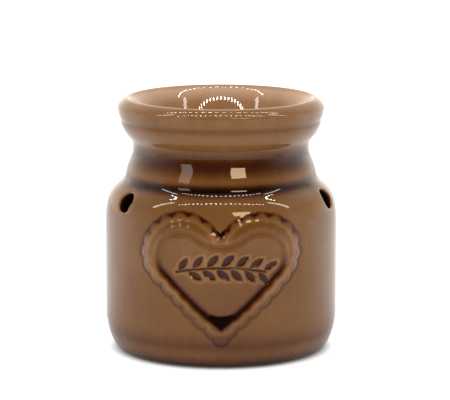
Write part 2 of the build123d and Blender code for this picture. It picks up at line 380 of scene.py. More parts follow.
outer_sill = SWELL_START + int(np.argmin(np.abs(outside[SWELL_START:, 1] - FLOOR)))
inner_sill = INNER_START + sum(SIDE_FACES[1:]) + CORNER_FACES
door_half, door_tall = DOOR_FACES
open_up(
    SPOKES // 2, (outer_sill, outer_sill + door_tall), door_half,
    door_target(outer_sill, outer_sill + DOOR_COURSES, 1, False), DOOR_ROUND, DOOR_REACH, DOOR_EDGE_GLAZE,
)
open_up(
    SPOKES // 2, (inner_sill - door_tall, inner_sill), door_half,
    door_target(inner_sill, inner_sill - DOOR_COURSES, -1, True), DOOR_INNER_ROUND, DOOR_INNER_REACH,
    DOOR_BACK_GLAZE,
)
join_openings()
keep_crisp(jar, len(outside) - 1, INNER_START)
# Outside, the glaze with its painted light and shade by height. Inside the chamber, painted shade over
# the whole skin, with glaze pooled round the floor's corner.
for vertex in jar.verts:
    vertex.co.z = max(vertex.co.z, 0.0)
    z = vertex.co.z / MM
    if vertex[course_of] < INNER_START:
        vertex[glaze_light_and_shade_of] += np.interp(z, *zip(*JAR_GLAZE_PAINTED_SHADE_AND_LIGHT))
        vertex[bare_of] = np.interp(z, (BARE_BELOW, GLAZED_ABOVE), (1.0, 0.0))
    else:
        off_corner = abs(vertex.co.xy.length / MM - CORNER_RADIUS)
        pool = CORNER_POOL * max(0, 1 - off_corner / CORNER_WIDE) * (z < CORNER_TOP)
        vertex[glaze_light_and_shade_of] += INSIDE_SHADE + pool


def paint(red, green, blue):
    # A colour picked on a screen, as the light value that a shader works in
    shares = [level / 255 for level in (red, green, blue)]
    return [s / 12.92 if s <= 0.04045 else ((s + 0.055) / 1.055) ** 2.4 for s in shares] + [1.0]


def feed(tree, node, sockets):
    # Gives each named socket of a node a number, a colour or another node's output
    for name, value in dict(sockets).items():
        if isinstance(value, bpy.types.NodeSocket):
            tree.links.new(value, node.inputs[name])
        else:
            node.inputs[name].default_value = value


def add_node(tree, kind, sockets=(), **settings):
    # A shader node with its settings, and what feeds it
    made = tree.nodes.new(kind)
    for name, value in settings.items():
        setattr(made, name, value)
    feed(tree, made, sockets)
    return made


def new_material(name):
    # An empty material with its Principled BSDF
    material = bpy.data.materials.new(name)
    material.use_nodes = True
    return material, material.node_tree, material.node_tree.nodes["Principled BSDF"]


def ranged(tree, value, start, end, first, last, kind="SMOOTHSTEP"):
    # Goes from first, where the value is at its start, to last, where it is at its end
    sockets = {"Value": value, "From Min": start, "From Max": end, "To Min": first, "To Max": last}
    return add_node(tree, "ShaderNodeMapRange", sockets, interpolation_type=kind).outputs["Result"]


def blended(tree, share, first, second, kind="RGBA"):
    # The first value where the share is 0, and the second where it is 1
    sockets = {"Factor": share, "A": first, "B": second}
    return add_node(tree, "ShaderNodeMix", sockets, data_type=kind).outputs["Result"]


def build_grain():
    # The grain of all the burner's finishes, as one node group: noise on the piece's own coordinates,
    # stretched along its axes, and the tone that the noise picks between a dark and a light one
    group = bpy.data.node_groups.new("grain", "ShaderNodeTree")
    given_sockets = (
        ("Scale", "NodeSocketFloat"), ("Detail", "NodeSocketFloat"), ("Stretch", "NodeSocketVector"),
        ("Dark", "NodeSocketColor"), ("Light", "NodeSocketColor"),
    )
    for name, kind in given_sockets:
        group.interface.new_socket(name, in_out="INPUT", socket_type=kind)
    group.interface.new_socket("Level", in_out="OUTPUT", socket_type="NodeSocketFloat")
    group.interface.new_socket("Tone", in_out="OUTPUT", socket_type="NodeSocketColor")
    given = group.nodes.new("NodeGroupInput").outputs
    place = add_node(group, "ShaderNodeTexCoord").outputs["Object"]
    stretched = add_node(group, "ShaderNodeMapping", {"Vector": place, "Scale": given["Stretch"]})
    sockets = {"Vector": stretched.outputs[0], "Scale": given["Scale"], "Detail": given["Detail"]}
    level = add_node(group, "ShaderNodeTexNoise", sockets).outputs["Fac"]
    share = ranged(group, level, 0.3, 0.7, 0.0, 1.0, "LINEAR")
    tone = blended(group, share, given["Dark"], given["Light"])
    add_node(group, "NodeGroupOutput", {"Level": level, "Tone": tone})
    return group


grain_group = build_grain()


def grain(tree, scale, detail, stretch=(1, 1, 1), tones=((0, 0, 0), (255, 255, 255))):
    # The grain placed in a material, with about scale grains to the metre: its level and its tone
    dark, light = (paint(*tone) for tone in tones)
    sockets = {"Scale": scale, "Detail": detail, "Stretch": stretch, "Dark": dark, "Light": light}
    placed = add_node(tree, "ShaderNodeGroup", sockets, node_tree=grain_group)
    return placed.outputs["Level"], placed.outputs["Tone"]


def noise(tree, scale, detail, stretch=(1, 1, 1)):
    # The level of a grain whose tone isn't needed
    return grain(tree, scale, detail, stretch)[0]


def reckon(tree, operation, *numbers):
    # One step of arithmetic on numbers or other nodes' outputs
    return add_node(tree, "ShaderNodeMath", enumerate(numbers), operation=operation).outputs[0]


def uneven(tree, amount, scale, detail, stretch=(1, 1, 1)):
    # Noise that adds up to half the amount, or takes it away
    return reckon(tree, "MULTIPLY_ADD", noise(tree, scale, detail, stretch), amount, -amount / 2)


def colour_ramp(tree, factor, stops):
    # A run of colours, each with its place between 0 and 1
    made = add_node(tree, "ShaderNodeValToRGB", {"Fac": factor})
    ramp = made.color_ramp
    while len(ramp.elements) < len(stops):
        ramp.elements.new(0.5)
    for element, (place, colour) in zip(ramp.elements, stops):
        element.position = place
        element.color = paint(*colour)
    return made.outputs["Color"]


def bumped(tree, height, strength, distance, under=None):
    # The normal of a skin that is raised by up to this distance, over another bump if one is given
    sockets = {"Height": height, "Strength": strength, "Distance": distance}
    if under is not None:
        sockets["Normal"] = under
    return add_node(tree, "ShaderNodeBump", sockets).outputs["Normal"]


glaze, tree, surface = new_material("brown_glaze")
depth = add_node(tree, "ShaderNodeAttribute", attribute_name="glaze").outputs["Fac"]
bare = add_node(tree, "ShaderNodeAttribute", attribute_name="bare").outputs["Fac"]
clouds = uneven(tree, 0.34, 70, 4)
runs = uneven(tree, 0.14, 420, 2, (1, 1, 0.16))
mottle = uneven(tree, 0.12, 1300, 3)
fired = reckon(tree, "ADD", reckon(tree, "ADD", clouds, runs), mottle)
level = reckon(tree, "MULTIPLY_ADD", reckon(tree, "ADD", depth, fired), 0.5, 0.5)
body = colour_ramp(tree, level, THIN_GLAZE + DEEP_GLAZE)
place = add_node(tree, "ShaderNodeTexCoord").outputs["Object"]
cells = add_node(tree, "ShaderNodeTexVoronoi", {"Vector": place, "Scale": SPECKS}).outputs["Distance"]
speck = reckon(tree, "MULTIPLY", reckon(tree, "LESS_THAN", cells, SPECK_SIZE), SPECK_SHOWS)
speckled = blended(tree, speck, body, paint(*IRON_SPECK))
clay = grain(tree, 2600, 4, (1, 1, 1), BARE_CLAY)[1]
gloss = reckon(tree, "MULTIPLY_ADD", noise(tree, 240, 3), 0.03, 0.015)
waves = bumped(tree, noise(tree, 130, 2), 1.0, 0.00001)
feed(tree, surface, {
    "Base Color": blended(tree, bare, speckled, clay),
    "Roughness": reckon(tree, "MULTIPLY_ADD", bare, 0.7, gloss),
    "Normal": bumped(tree, noise(tree, 1500, 2), 1.0, 0.0000005, waves),
    "IOR": 1.5,
})
jar_piece = finish_piece(jar, "jar", glaze)
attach(jar_piece, "burner")
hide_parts("jar_body")

# Dish. Thrown as a shallow bowl with a rolled rim and luted on the mouth of the jar while both are
# leather-hard, so that its side carries on the jar's flare past a soft groove. Same clay and glaze.
RIM, RIDGE = (34.7, 82.6), (31.2, 85.3)
KNEE, BOWL_FLOOR, BOWL_UNDER, SEAT, SEAT_FACES = (24.45, 76.25), 69.0, 65.4, 30.2, 3
UNDER_GLAZE = 0.2
# By height. The rim, the ridge and the bowl's upper wall face the light from above, and are paler partly
# from thin glaze and partly as painted light. The seam and the bowl's floor are darker.
DISH_GLAZE_AND_PAINTED_LIGHT = [
    (78.0, 0.18), (78.6, 0.06), (79.5, -0.12), (82.4, -0.13), (84.0, -0.14), (84.9, -0.14), (85.3, -0.3),
]
BOWL_GLAZE_AND_PAINTED_LIGHT = [
    (69.0, 0.15), (73.0, -0.2), (77.0, -0.42), (80.0, -0.42), (82.0, -0.74), (84.0, -0.96), (85.3, -0.55),
]
dish_side = chained(
    bent(MOUTH, RIM, (0.35, 1.66), (0, -1.47), 10),
    bent(RIM, RIDGE, (0, 0.46), (1.65, 0), 14),
)
bowl = chained(
    bent(RIDGE, KNEE, (-1.01, 0), (3.34, 5.46), 36),
    bent(KNEE, (0, BOWL_FLOOR), (-2.09, -3.42), (13.0, 0), 34),
)
under = bent((0, BOWL_UNDER), (SEAT, MOUTH[1]), (20.0, 0), (-2.8, -4.4), 26)
seat = straight((SEAT, MOUTH[1]), (MOUTH[0] - SEAM_DEPTH, MOUTH[1]), SEAT_FACES)
dish = spun(np.concatenate([chained(under, seat), seam_dip(dish_side)[1:], bowl[1:]]))
course_of, glaze_light_and_shade_of = dish.verts.layers.int["course"], dish.verts.layers.float["glaze"]
seat_end = len(under) - 1 + SEAT_FACES
ridge_course = seat_end + len(dish_side) - 1
for vertex in dish.verts:
    skin = DISH_GLAZE_AND_PAINTED_LIGHT if vertex[course_of] <= ridge_course else BOWL_GLAZE_AND_PAINTED_LIGHT
    vertex[glaze_light_and_shade_of] = np.interp(vertex.co.z / MM, *zip(*skin))
    if vertex[course_of] < len(under):
        vertex[glaze_light_and_shade_of] = UNDER_GLAZE
keep_crisp(dish, len(under) - 1, seat_end)
dish_piece = finish_piece(dish, "dish", glaze)
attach(dish_piece, "burner")
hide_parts("oil_dish")

# Heart. A pressed clay heart with a scalloped frame round a sunk, cushioned field, luted on the wall
# before glazing. The field carries a stamped sprig of leaves. The glaze has run off the frame and the
# cushion, and has pooled round the cushion's foot, in its point, in the stamp and between the scallops.
HEART_HALF, HEART_LOW, HEART_HIGH, HEART_FACE = 29.0, 5.5, 55.0, 0.22
FIELD_LOBE, FIELD_RADIUS, FIELD_LOW, FIELD_TIP = (12.6, 37.8), 8.35, 41.9, (0.0, 14.7)
EDGE_LOBE, EDGE_RADIUS, EDGE_TIP = (12.4, 38.5), 13.0, (0.0, 9.1)
SIDE_BOW, BEAD, NOSE_RADIUS, NOSE_BLEND = 0.5, 2.3, 1.9, 0.5
SCALLOPS, SCALLOP_RADIUS, SCALLOP_VARIES, SCALLOP_NOTCH = 15, 3.6, 0.16, 1.6
SMOOTH_REACH, SMOOTH_INSET = 1.2, 0.85
PILLOW_INSET, PILLOW_ROUND, POINT_LONG = 0.5, 10.0, 3.8
APRON, APRON_RISE, APRON_FALL, BACK_SET = 2.4, 0.03, 0.07, 0.6
STEM_BEND, STEM_HALF, STEM_HEIGHT, STEM_WIDE = 62.0, 14.6, 34.6, 0.5
LEAF_LONG, LEAF_WIDE, LEAF_PITCH, LEAF_LEAN = 6.0, 2.7, 4.6, 48.0
LEAF_PAIRS, LEAF_SHIFT, LEAF_STAGGER, LEAF_GAP, LEAF_SHRINK = 3, 1.2, 0.8, 0.5, 0.1
UPPER_HALF, TOP_LEDGE = (31, 40), (40, 49)
FRAME_RISE, MOST_PROUD = 0.8, 1.34
BEAD_RISE, BEAD_MIDDLE, BEAD_WIDE = 0.2, 1.05, 0.95
RIPPLE_RISE, RIPPLE_MORE, RIPPLE_MIDDLE, RIPPLE_WIDE = 0.14, 0.16, -1.0, 0.65
FOOT_RISE, FOOT_MORE, CUSHION_RISE = 0.28, 0.36, 0.86
CROWN_RISE, CROWN_MIDDLE, CROWN_WIDE, CROWN_TALL = 0.1, 32, 17, 16
STAMP_DEPTH, LIP_RISE, LIP_MIDDLE, LIP_WIDE = 0.5, 0.07, 0.55, 0.35
FOOT_POOL, FOOT_POOL_LESS, POINT_POOL, STAMP_POOL = 0.86, 0.68, 1.2, 0.68
CLEFT_POOL, EDGE_POOL_AND_SHADOW, NOTCH_POOL, FIELD_POOL = 1.2, 0.36, 0.6, 0.12
LOW_FRAME_POOL, LEDGE_POOL, FRAME_THIN = 0.24, 0.25, 0.03
RIPPLE_THIN, BEAD_THIN, LIP_THIN = 0.28, 0.24, 0.25


def eased(low, high, value):
    # 0 below low, 1 above high, and a smooth step between
    share = np.clip((value - low) / (high - low), 0, 1)
    return share * share * (3 - 2 * share)


def side_circle(lobe, radius, tip):
    # The circle whose arc leaves a lobe smoothly and ends at the tip, bowed out a little
    gap = hypot(lobe[0] - tip[0], lobe[1] - tip[1])
    reach = (gap**2 - radius**2) / (8 * SIDE_BOW) + radius
    along = (reach**2 - (reach - radius) ** 2 + gap**2) / (2 * gap)
    heading = atan2(lobe[1] - tip[1], lobe[0] - tip[0]) + acos(along / reach)
    return (tip[0] + reach * cos(heading), tip[1] + reach * sin(heading)), reach


def from_field(x, z):
    # How far outside the field's outline each place lies, and less than nothing within it
    x = np.abs(x)
    side, reach = side_circle(FIELD_LOBE, FIELD_RADIUS, FIELD_TIP)
    start = atan2(FIELD_LOBE[1] - side[1], FIELD_LOBE[0] - side[0])
    end = atan2(FIELD_TIP[1] - side[1], FIELD_TIP[0] - side[0])
    lift = FIELD_LOBE[1] - FIELD_LOW
    notch = (FIELD_LOBE[0] ** 2 + lift**2 - FIELD_RADIUS**2) / (2 * (FIELD_RADIUS + lift))
    top = (0.0, FIELD_LOW + notch)
    lean = atan2(FIELD_LOBE[1] - top[1], FIELD_LOBE[0])
    best = np.hypot(x - FIELD_TIP[0], z - FIELD_TIP[1])
    arcs = (
        (FIELD_LOBE, FIELD_RADIUS, start, lean + pi, 1),
        (side, reach, end, start, 1),
        (top, notch, -pi / 2, lean, -1),
    )
    for centre, radius, first, last, sense in arcs:
        angle = np.arctan2(z - centre[1], x - centre[0])
        away = sense * (np.hypot(x - centre[0], z - centre[1]) - radius)
        faced = (angle >= first - 1e-6) & (angle <= last + 1e-6)
        best = np.where(faced & (np.abs(away) < np.abs(best)), away, best)
    return best


def scallop_centres():
    # The middles of the right-hand scallops, evenly spaced from the cleft to the nose
    side, reach = side_circle(EDGE_LOBE, EDGE_RADIUS, EDGE_TIP)
    start = atan2(EDGE_LOBE[1] - side[1], EDGE_LOBE[0] - side[0])
    end = atan2(EDGE_TIP[1] - side[1], EDGE_TIP[0] - side[0])
    cleft = acos(-EDGE_LOBE[0] / EDGE_RADIUS)
    around, down = EDGE_RADIUS * (cleft - start), reach * (start - end)
    for number in range(SCALLOPS):
        way = (number + 0.5) * (around + down) / (SCALLOPS + 0.5)
        centre, radius, turn = EDGE_LOBE, EDGE_RADIUS, cleft - way / EDGE_RADIUS
        if way >= around:
            centre, radius, turn = side, reach, start - (way - around) / reach
        radius -= SCALLOP_RADIUS
        yield centre[0] + radius * cos(turn), centre[1] + radius * sin(turn)


def from_scallops(x, z, field):
    # How far outside the scalloped edge each place lies, how deep it is in a notch between scallops,
    # and how far it lies outside the edge with its scallops smoothed away. No two scallops are alike.
    nearest = np.full(x.shape, 99.0)
    second = np.full(x.shape, 99.0)
    heap = np.zeros(x.shape)
    for number, (centre_x, centre_z) in enumerate(scallop_centres()):
        for sense in (1, -1):
            size = SCALLOP_RADIUS + SCALLOP_VARIES * sin(5.1 * number + 1.7 * sense)
            away = np.hypot(x - sense * centre_x, z - centre_z) - size
            second = np.minimum(second, np.maximum(nearest, away))
            nearest = np.minimum(nearest, away)
            heap += np.exp(-away / SMOOTH_REACH)
    crowd = np.clip(1 - (second - nearest) / SCALLOP_NOTCH, 0, 1)
    even = SMOOTH_INSET - SMOOTH_REACH * np.log(heap)
    nose = np.hypot(x, z - EDGE_TIP[1] - NOSE_RADIUS) - NOSE_RADIUS
    for other in (field - BEAD, nose):
        blend = np.clip(0.5 + 0.5 * (other - nearest) / NOSE_BLEND, 0, 1)
        nearest = other + (nearest - other) * blend - NOSE_BLEND * blend * (1 - blend)
    return nearest, crowd, even


def from_pillow(x, z, field):
    # How far outside the cushion each place lies: the field drawn in, with a wide round for its point
    side, reach = side_circle(FIELD_LOBE, FIELD_RADIUS, FIELD_TIP)
    drop = ((reach - PILLOW_INSET - PILLOW_ROUND) ** 2 - side[0] ** 2) ** 0.5
    height = side[1] - drop
    turn = atan2(height - side[1], -side[0])
    round_end = np.hypot(x, z - height) - PILLOW_ROUND
    below = np.arctan2(z - height, np.abs(x)) < turn
    return np.where(below, np.maximum(round_end, field + PILLOW_INSET), field + PILLOW_INSET)


def from_sprig(x, z):
    # How far outside the stamped sprig each place lies: an arched stem and leaves on both its sides
    low = STEM_HEIGHT - STEM_BEND
    turn = np.arctan2(x, z - low)
    end = STEM_HALF / STEM_BEND
    stem = np.abs(np.hypot(x, z - low) - STEM_BEND) - STEM_WIDE
    end_x, end_z = STEM_BEND * sin(end), low + STEM_BEND * cos(end)
    ends = [np.hypot(x - s * end_x, z - end_z) - STEM_WIDE for s in (1, -1)]
    best = np.where(np.abs(turn) < end, stem, np.minimum(*ends))
    round_side = (LEAF_LONG**2 + LEAF_WIDE**2) / (4 * LEAF_WIDE)
    for number in range(-LEAF_PAIRS, LEAF_PAIRS + 1):
        for sense in (1, -1):
            place = number * LEAF_PITCH - LEAF_SHIFT + LEAF_STAGGER * sense
            if abs(place) > STEM_HALF + 1:
                continue
            swing = place / STEM_BEND
            foot_x, foot_z = STEM_BEND * sin(swing), low + STEM_BEND * cos(swing)
            lean = radians(90 - LEAF_LEAN) * sense - swing
            small = 1 - LEAF_SHRINK * abs(number) / LEAF_PAIRS
            long, wide, bulge = LEAF_LONG * small, LEAF_WIDE * small, round_side * small
            middle_x = foot_x + (0.5 * long + LEAF_GAP) * cos(lean)
            middle_z = foot_z + (0.5 * long + LEAF_GAP) * sin(lean)
            off = bulge - wide / 2
            sides = [
                np.hypot(x - middle_x + s * off * sin(lean), z - middle_z - s * off * cos(lean)) - bulge
                for s in (1, -1)
            ]
            best = np.minimum(best, np.maximum(*sides))
    return best


heart = bmesh.new()
glaze_light_and_shade_of = heart.verts.layers.float.new("glaze")
heart.verts.layers.float.new("bare")
bmesh.ops.create_grid(
    heart, x_segments=round(2 * HEART_HALF / HEART_FACE),
    y_segments=round((HEART_HIGH - HEART_LOW) / HEART_FACE), size=1.0,
)
flat = np.array([vertex.co for vertex in heart.verts])
x, z = flat[:, 0] * HEART_HALF, HEART_LOW + (flat[:, 1] + 1) / 2 * (HEART_HIGH - HEART_LOW)
field = from_field(x, z)
edge, crowd, even = from_scallops(x, z, field)
for _ in range(3):
    # Places near the border slide on to it, so that the rim of the apron is smooth
    near = np.abs(edge - APRON) < 0.75 * HEART_FACE
    nudge = 0.02
    slope_x = (from_scallops(x + nudge, z, from_field(x + nudge, z))[0] - edge) / nudge
    slope_z = (from_scallops(x, z + nudge, from_field(x, z + nudge))[0] - edge) / nudge
    scale = np.where(near, (APRON - edge) / np.maximum(slope_x**2 + slope_z**2, 0.2), 0)
    x, z = x + slope_x * scale, z + slope_z * scale
    field = from_field(x, z)
    edge, crowd, even = from_scallops(x, z, field)
pillow = from_pillow(x, z, field)
stamp = from_sprig(x, z)

# The relief, as how far it stands out of the wall. Upper is the lobes' half of the heart, and ledge the
# shelf along their tops, where the frame is lower and falls off softly.
upper = eased(*UPPER_HALF, z)
ledge = eased(*TOP_LEDGE, z)
off_field = eased(0, 0.8, field)
ripple = RIPPLE_RISE + RIPPLE_MORE * upper - RIPPLE_MORE * ledge
frame_height = FRAME_RISE + BEAD_RISE * hump(field, BEAD_MIDDLE, BEAD_WIDE)
frame_height += ripple * hump(even, RIPPLE_MIDDLE, RIPPLE_WIDE) * off_field
point = np.clip((pillow - field - PILLOW_INSET) / POINT_LONG, 0, 1)
cushion_foot = FOOT_RISE + FOOT_MORE * upper
cushion = cushion_foot + (CUSHION_RISE - cushion_foot) * eased(1.4 * upper, -2.4, pillow)
cushion += CROWN_RISE * np.clip(1 - (x / CROWN_WIDE) ** 2 - ((z - CROWN_MIDDLE) / CROWN_TALL) ** 2, 0, 1)
stamped = STAMP_DEPTH * eased(0.25, -0.65, stamp)
lips = LIP_RISE * hump(stamp, LIP_MIDDLE, LIP_WIDE)
inward = eased(0.7, -0.9, field) * upper
inward += np.clip((2.0 + 2.4 * point - pillow) / (2.9 + 1.5 * point), 0, 1) * (1 - upper)
proud = frame_height + (cushion - stamped + lips - frame_height) * inward
proud *= 1 - 0.5 * ledge * eased(-4, 0, edge)
past_edge = eased(-0.6 - 0.3 * ledge, 0.6 + 0.5 * ledge, edge)
proud += (APRON_RISE - proud) * past_edge - APRON_FALL * eased(0.6, APRON, edge)
proud = np.minimum(proud, MOST_PROUD)
wall = np.concatenate([curve[1:] for curve in jar_side(0)[:3]])
around = np.interp(z, wall[:, 1], wall[:, 0]) + proud

# The glaze pools at the foot of the cushion, deepest in the point below it, in the stamp, in the cleft
# and in the notches under the scallops. A band on the wall just outside the scalloped edge is darker,
# partly pooled glaze and partly painted shadow that the frame casts. The glaze is thin on the scallops,
# the bead and the stamp's lips.
pooled = (FOOT_POOL - FOOT_POOL_LESS * upper) * eased(-2.1, -0.1, field) * eased(2.1, 0.3, field)
in_point = eased(0.0, 0.2, point) * eased(1.2, -0.3, field) * eased(-0.9, 0.7, pillow)
pooled = np.maximum(pooled, POINT_POOL * in_point)
framed = eased(-0.3, 0.3, field) * eased(0.4, -0.4, edge)
pooled += framed * (LOW_FRAME_POOL * eased(28, 18, z) - FRAME_THIN + LEDGE_POOL * ledge)
pooled += FIELD_POOL * eased(0, -2, field) * eased(36, 26, z)
pooled += STAMP_POOL * eased(0.12, 0.42, stamped) * inward
cleft = hump(x, 0, 1.9) * hump(z, 46.2, 2.2) * eased(-0.4, 0.5, edge)
pooled = np.maximum(pooled, CLEFT_POOL * cleft)
# Just outside the scalloped edge: painted shadow under the frame, with glaze pooled in the notches along
# the top.
pooled = np.maximum(pooled, (EDGE_POOL_AND_SHADOW + NOTCH_POOL * ledge * crowd) * hump(edge, 0.6, 0.8))
thin = RIPPLE_THIN * hump(even, -0.8, 0.6) * off_field + BEAD_THIN * hump(field, 0.9, 0.8)
thin = np.maximum(thin, LIP_THIN * hump(stamp, 0.5, 0.4) * inward)
coat_and_shade = np.interp(z, *zip(*JAR_GLAZE_PAINTED_SHADE_AND_LIGHT)) + pooled - thin
for vertex, px, pz, radius, value in zip(heart.verts, x, z, around, coat_and_shade):
    vertex.co = Vector((px, -((radius**2 - px**2) ** 0.5), pz)) * MM
    vertex[glaze_light_and_shade_of] = value
heart.verts.index_update()
outer = [face for face in heart.faces if max(edge[vertex.index] for vertex in face.verts) > APRON + 0.02]
bmesh.ops.delete(heart, geom=outer, context="FACES")
rim = [border for border in heart.edges if border.is_boundary]
drawn = bmesh.ops.extrude_edge_only(heart, edges=rim)
back = [item for item in drawn["geom"] if isinstance(item, bmesh.types.BMVert)]
for vertex in back:
    shrink = 1 - BACK_SET * MM / vertex.co.xy.length
    vertex.co.x *= shrink
    vertex.co.y *= shrink
bmesh.ops.holes_fill(heart, edges=[border for border in heart.edges if border.is_boundary], sides=0)
heart_piece = finish_piece(heart, "heart", glaze)
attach(heart_piece, "burner")
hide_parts("heart_plaque")

# Tealight cup. Drawn from thin aluminium sheet, with a little taper, a rounded heel and a lip that is
# rolled outwards for stiffness. The drawing leaves fine upright streaks on its side.
BASE = 5.7
CUP_RADIUS, CUP_HEIGHT, CUP_TAPER, LIP, ROLL = 18.5, 15.0, 0.7, 0.5, 0.6
SHEET, HEEL_ROUND, CUP_SPOKES = 0.4, 0.8, 128
FOIL_TONES = ((214, 214, 217), (232, 232, 234))
cup_foil, tree, surface = new_material("cup_foil")
streaks, foil_tone = grain(tree, 900, 3, (1, 1, 0.05), FOIL_TONES)
feed(tree, surface, {
    "Base Color": foil_tone,
    "Metallic": 1.0,
    "Roughness": reckon(tree, "MULTIPLY_ADD", streaks, 0.16, 0.16),
    "Normal": bumped(tree, noise(tree, 260, 2), 0.6, 0.00012),
})
heel, top = CUP_RADIUS - CUP_TAPER, CUP_HEIGHT - LIP
inner_heel, inner_floor = heel - 0.38 - HEEL_ROUND, SHEET + HEEL_ROUND
cup_outline = chained(
    straight((0, 0), (heel - HEEL_ROUND, 0), 8),
    quarter((heel - HEEL_ROUND, HEEL_ROUND), HEEL_ROUND, -90, 0, 5),
    straight((heel, HEEL_ROUND), (CUP_RADIUS, top - 0.35), 12),
    straight((CUP_RADIUS, top - 0.35), (CUP_RADIUS + 0.02, top - 0.3), 1),
    quarter((CUP_RADIUS - 0.1, top), ROLL, -40, 205, 14),
    straight((CUP_RADIUS - 0.62, top - 0.25), (heel - 0.38, inner_floor), 12),
    quarter((inner_heel, inner_floor), HEEL_ROUND, 0, -90, 5),
    straight((inner_heel, SHEET), (0, SHEET), 8),
)
cup_outline[:, 0] = np.minimum(cup_outline[:, 0], CUP_RADIUS + LIP)
cup_piece = finish_piece(spun(cup_outline + (0, BASE), CUP_SPOKES), "tealight_cup_foil", cup_foil)
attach(cup_piece, "tealight")
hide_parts("tealight_cup")

# Tealight wax. White paraffin poured round the wick. It shrinks as it sets, so its top dips between
# the wick and the cup and climbs a little on both, and it has a dull, slightly clouded skin.
WAX_TOP = 11.5
DIP, WICK_CLIMB = (9.0, WAX_TOP - 0.55), (1.3, WAX_TOP - 0.05)
WAX_TONES = ((236, 232, 220), (247, 245, 238))
wax, tree, surface = new_material("tealight_wax_skin")
feed(tree, surface, {
    "Base Color": grain(tree, 320, 4, (1, 1, 1), WAX_TONES)[1],
    "Roughness": reckon(tree, "MULTIPLY_ADD", noise(tree, 500, 2), 0.15, 0.34),
    "Normal": bumped(tree, noise(tree, 700, 3), 0.5, 0.00005),
    "Subsurface Weight": 0.35,
    "Subsurface Radius": (0.004, 0.003, 0.002),
    "Subsurface Scale": 1.0,
})
cup_side = (heel - SHEET + CUP_TAPER * WAX_TOP / CUP_HEIGHT, WAX_TOP)
wax_outline = chained(
    straight((0, SHEET), (inner_heel, SHEET), 6),
    quarter((inner_heel, inner_floor), 0.78, -90, 0, 4),
    straight((heel - SHEET, inner_floor), cup_side, 8),
    bent(cup_side, DIP, (-0.3, -0.5), (4.5, 0), 16),
    bent(DIP, WICK_CLIMB, (-4.0, 0), (0.4, -0.35), 14),
    straight(WICK_CLIMB, (0, WAX_TOP), 2),
)
wax_piece = finish_piece(spun(wax_outline + (0, BASE), CUP_SPOKES), "tealight_wax_fill", wax)
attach(wax_piece, "tealight")
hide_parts("tealight_wax")

# Tealight wick. Three strands of cotton braided together, stiffened with wax, with a square-cut end.
# Each strand is a round section that is drawn up a helix about the wick's axis.
WICK_LOW, WICK_LONG, STRANDS, STRAND, STRAND_OFF = 0.7, 18.5, 3, 0.47, 0.42
WICK_TURNS, WICK_STEPS = 3, 72
COTTON_TONES = ((222, 214, 194), (246, 242, 230))
cotton, tree, surface = new_material("wick_cotton_braid")
fibres, cotton_tone = grain(tree, 4200, 3, (1, 1, 0.4), COTTON_TONES)
feed(tree, surface, {
    "Base Color": cotton_tone,
    "Roughness": 0.75,
    "Normal": bumped(tree, fibres, 0.7, 0.00008),
})
wick = bmesh.new()
for strand in range(STRANDS):
    ring = bmesh.ops.create_circle(wick, cap_ends=True, segments=12, radius=STRAND * MM)["verts"]
    place = Matrix.Translation((STRAND_OFF * MM, 0, (BASE + WICK_LOW) * MM))
    turned = Matrix.Rotation(strand * 2 * pi / STRANDS, 4, "Z")
    bmesh.ops.transform(wick, matrix=turned @ place, verts=ring)
    cap = [face for face in wick.faces if set(face.verts) == set(ring)]
    bmesh.ops.spin(
        wick, geom=cap, axis=(0, 0, 1), cent=(0, 0, 0), dvec=(0, 0, WICK_LONG * MM / WICK_STEPS),
        angle=2 * pi * WICK_TURNS, steps=WICK_STEPS,
    )
wick_piece = finish_piece(wick, "tealight_wick_braid", cotton)
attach(wick_piece, "tealight")
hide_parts("tealight_wick")

# Wick sustainer. A stamped tinplate disc with a collar pinched round the wick. The CAD solid has its
# shape, so it stays and gets the metal's rolled grain.
TIN_TONES = ((150, 150, 148), (176, 176, 172))
tinplate, tree, surface = new_material("tinplate_rolled")
rolled, tin_tone = grain(tree, 1500, 3, (1, 0.08, 1), TIN_TONES)
feed(tree, surface, {
    "Base Color": tin_tone,
    "Metallic": 1.0,
    "Roughness": reckon(tree, "MULTIPLY_ADD", rolled, 0.2, 0.25),
})
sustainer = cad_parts["wick_sustainer"]
sustainer.data.materials.clear()
sustainer.data.materials.append(tinplate)

# Table and backdrop. A white sheet that the burner stands on and that ends half a metre in front of
# it. Away from the foot it is a little brighter for the camera, so that it runs into the white
# background. As the gloss sees it, it is darker in front of the burner and brighter behind.

# From here on, places and sizes are in metres.
SHEET_HALF, SHEET_FRONT = 1.5, 0.5
FOOT_SHADOW, FRONT_REACH = (0.0335, 0.0385), 0.06
SHEET_WHITE, SHEET_LIFT, GLOSS_DIM, GLOSS_LIFT = 0.9, 0.5, 0.3, 0.6
sheet_mesh = bmesh.new()
bmesh.ops.create_grid(sheet_mesh, x_segments=1, y_segments=1, size=SHEET_HALF)
bmesh.ops.translate(sheet_mesh, verts=sheet_mesh.verts, vec=(0, SHEET_HALF - SHEET_FRONT, 0))
white, tree, surface = new_material("white_sheet")
ray = add_node(tree, "ShaderNodeLightPath").outputs
place = add_node(tree, "ShaderNodeTexCoord").outputs["Object"]
back = add_node(tree, "ShaderNodeSeparateXYZ", {"Vector": place}).outputs["Y"]
front = ranged(tree, back, -FRONT_REACH, FRONT_REACH, 1.0, 0.0, "LINEAR")
away = add_node(tree, "ShaderNodeVectorMath", {0: place}, operation="LENGTH").outputs["Value"]
clear = ranged(tree, away, *FOOT_SHADOW, 0.0, SHEET_LIFT)
dimmed = reckon(tree, "MULTIPLY", front, ray["Is Glossy Ray"])
lit_behind = reckon(tree, "MULTIPLY_ADD", front, -GLOSS_LIFT, GLOSS_LIFT)
lift = reckon(tree, "MULTIPLY_ADD", ray["Is Glossy Ray"], lit_behind, ray["Is Camera Ray"])
